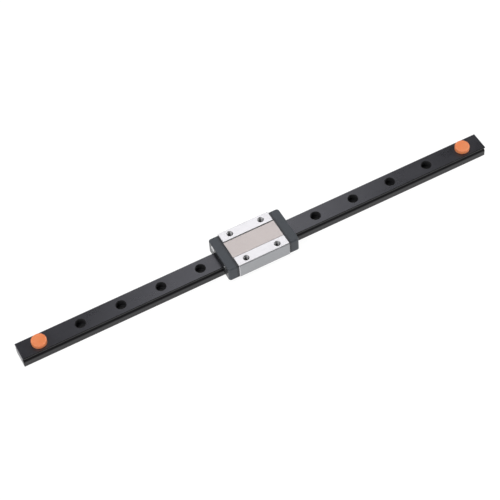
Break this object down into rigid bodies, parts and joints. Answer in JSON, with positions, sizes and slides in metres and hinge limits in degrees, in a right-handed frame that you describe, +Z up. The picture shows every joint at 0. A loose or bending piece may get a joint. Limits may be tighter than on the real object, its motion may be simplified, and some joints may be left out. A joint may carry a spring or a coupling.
{
  "type": "linear guide carriage",
  "caption": "Miniature linear guide: a flanged ball carriage with tapped holes that slides along a grooved steel rail between two push-in end plugs.",
  "frame": {"origin": "middle of the rail's underside, the face that is bolted down", "axes": "+X along the rail towards the front end, +Y to the left across the rail, +Z up out of the rail's base"},
  "size_m": [0.3, 0.027, 0.013],
  "materials": {
    "rail_steel": "black oxide, satin",
    "plug_plastic": "moulded, soft satin",
    "block_steel": "ground",
    "cap_plastic": "moulded, glossy",
    "seal_rubber": "smooth",
    "screw_steel": "bright",
    "wire_steel": "drawn",
    "ball_steel": "polished"
  },
  "bodies": {
    "rail": {"rail": "rail_steel"},
    "front_plug": {"front_rail_plug": "plug_plastic"},
    "rear_plug": {"rear_rail_plug": "plug_plastic"},
    "carriage": {"carriage_block": "block_steel", "front_return_plate": "cap_plastic", "rear_return_plate": "cap_plastic", "front_end_cap": "cap_plastic", "rear_end_cap": "cap_plastic", "front_end_seal": "seal_rubber", "rear_end_seal": "seal_rubber", "front_left_cap_screw": "screw_steel", "front_right_cap_screw": "screw_steel", "rear_left_cap_screw": "screw_steel", "rear_right_cap_screw": "screw_steel", "left_retaining_wire": "wire_steel", "right_retaining_wire": "wire_steel", "left_loaded_balls": "ball_steel", "left_return_balls": "ball_steel", "left_front_turn_balls": "ball_steel", "left_rear_turn_balls": "ball_steel", "right_loaded_balls": "ball_steel", "right_return_balls": "ball_steel", "right_front_turn_balls": "ball_steel", "right_rear_turn_balls": "ball_steel"}
  },
  "joints": [
    {"name": "carriage_slide", "type": "slide", "parent": "rail", "child": "carriage", "axis": [1, 0, 0], "range_m": [-0.1071, 0.1131]},
    {"name": "front_plug_pull", "type": "slide", "parent": "rail", "child": "front_plug", "axis": [0, 0, 1], "range_m": [0, 0.008]},
    {"name": "rear_plug_pull", "type": "slide", "parent": "rail", "child": "rear_plug", "axis": [0, 0, 1], "range_m": [0, 0.008]}
  ]
}
